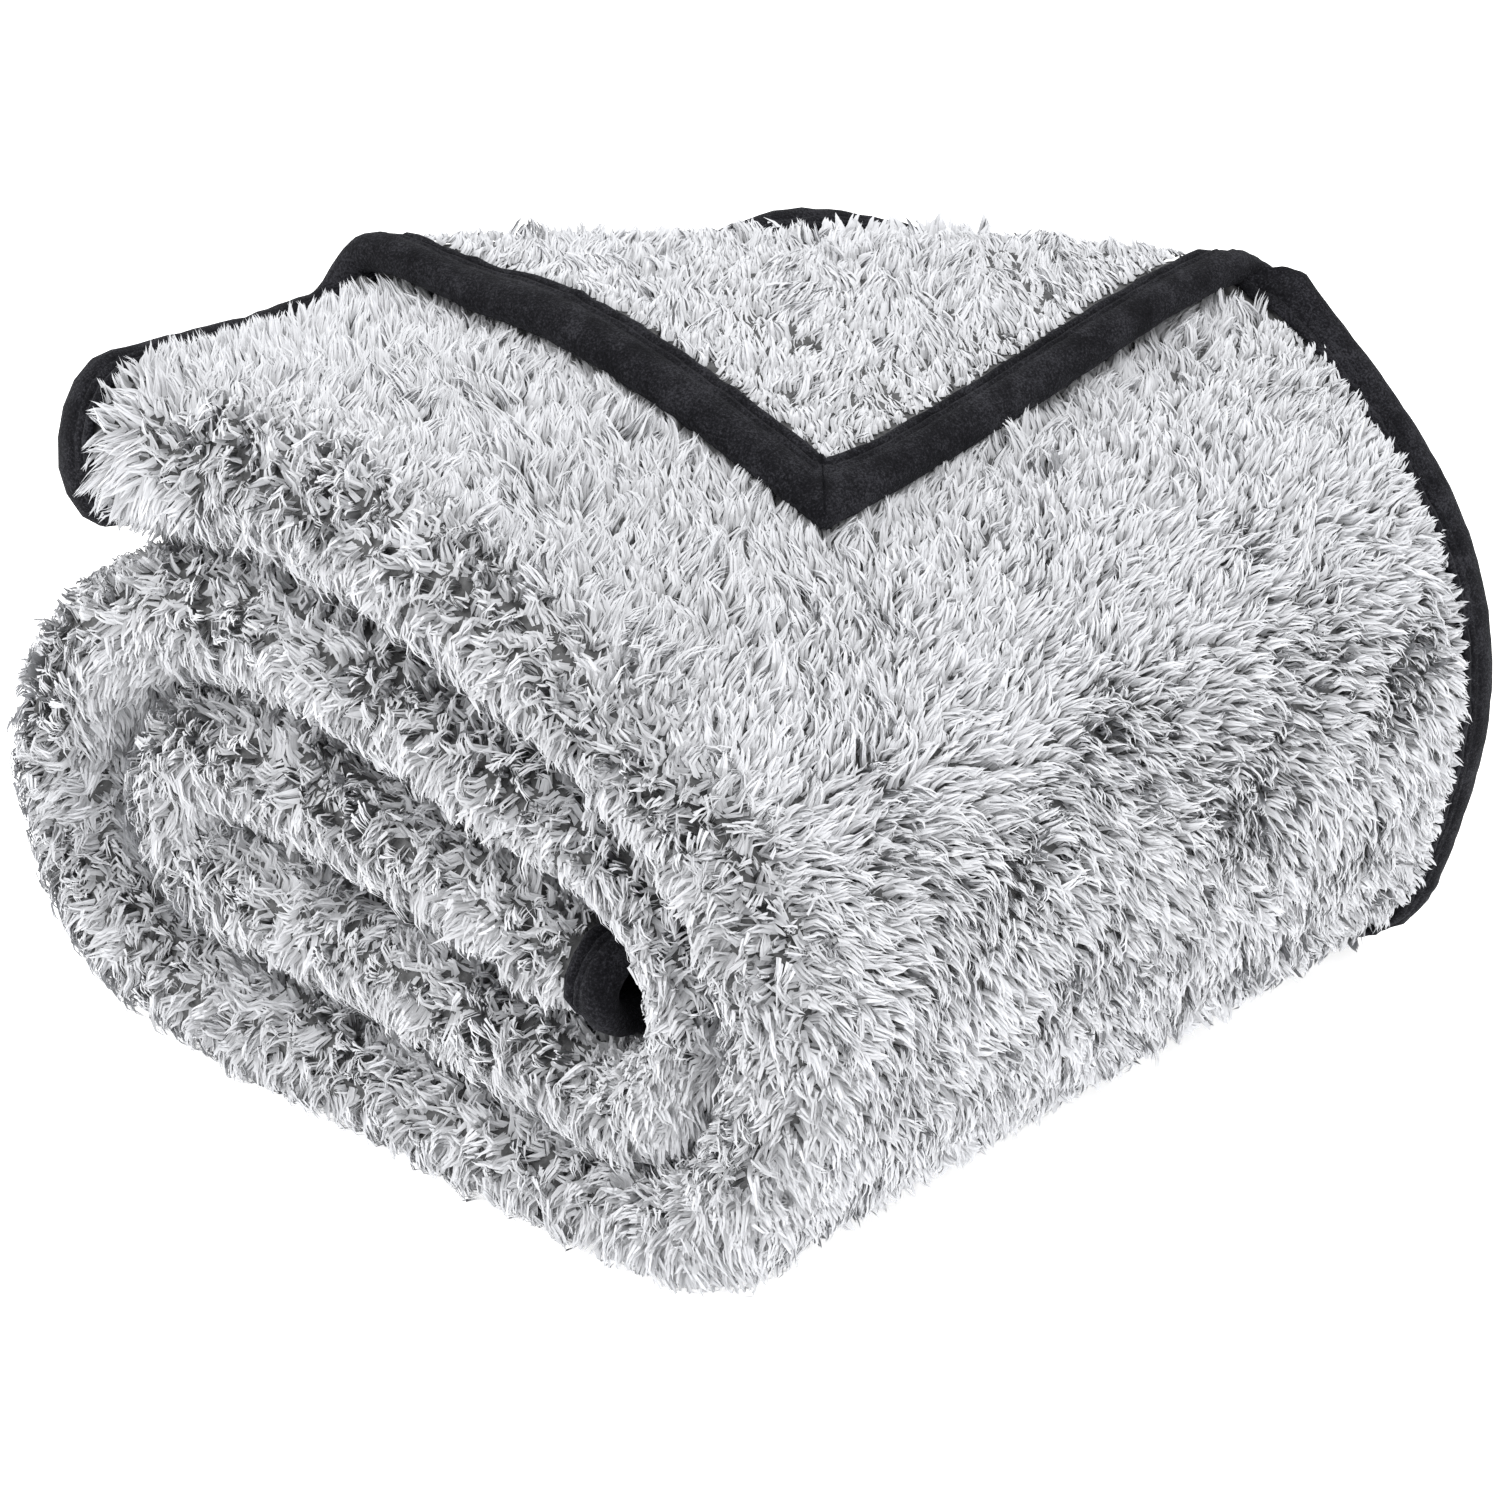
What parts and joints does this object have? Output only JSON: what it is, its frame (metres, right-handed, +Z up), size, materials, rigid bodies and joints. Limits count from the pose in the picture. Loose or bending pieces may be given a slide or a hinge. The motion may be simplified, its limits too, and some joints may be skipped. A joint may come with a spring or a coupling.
{
  "type": "sherpa throw blanket",
  "caption": "Long-pile throw blanket, folded in thirds and wound flat into a stack, with one corner turned back and a dark velvet binding round its edges.",
  "frame": {"origin": "on the floor plane under the middle of the folded blanket", "axes": "+X towards the closed right turn of the wound strip, +Y towards the bound far edge, +Z up"},
  "size_m": [0.469, 0.4496, 0.3303],
  "materials": {
    "sherpa": "long frosted pile, grey at the root and near white at the tip",
    "velvet": "soft black velvet, dull with a faint sheen"
  },
  "bodies": {
    "root": {"blanket": "sherpa", "binding": "velvet"}
  },
  "joints": []
}
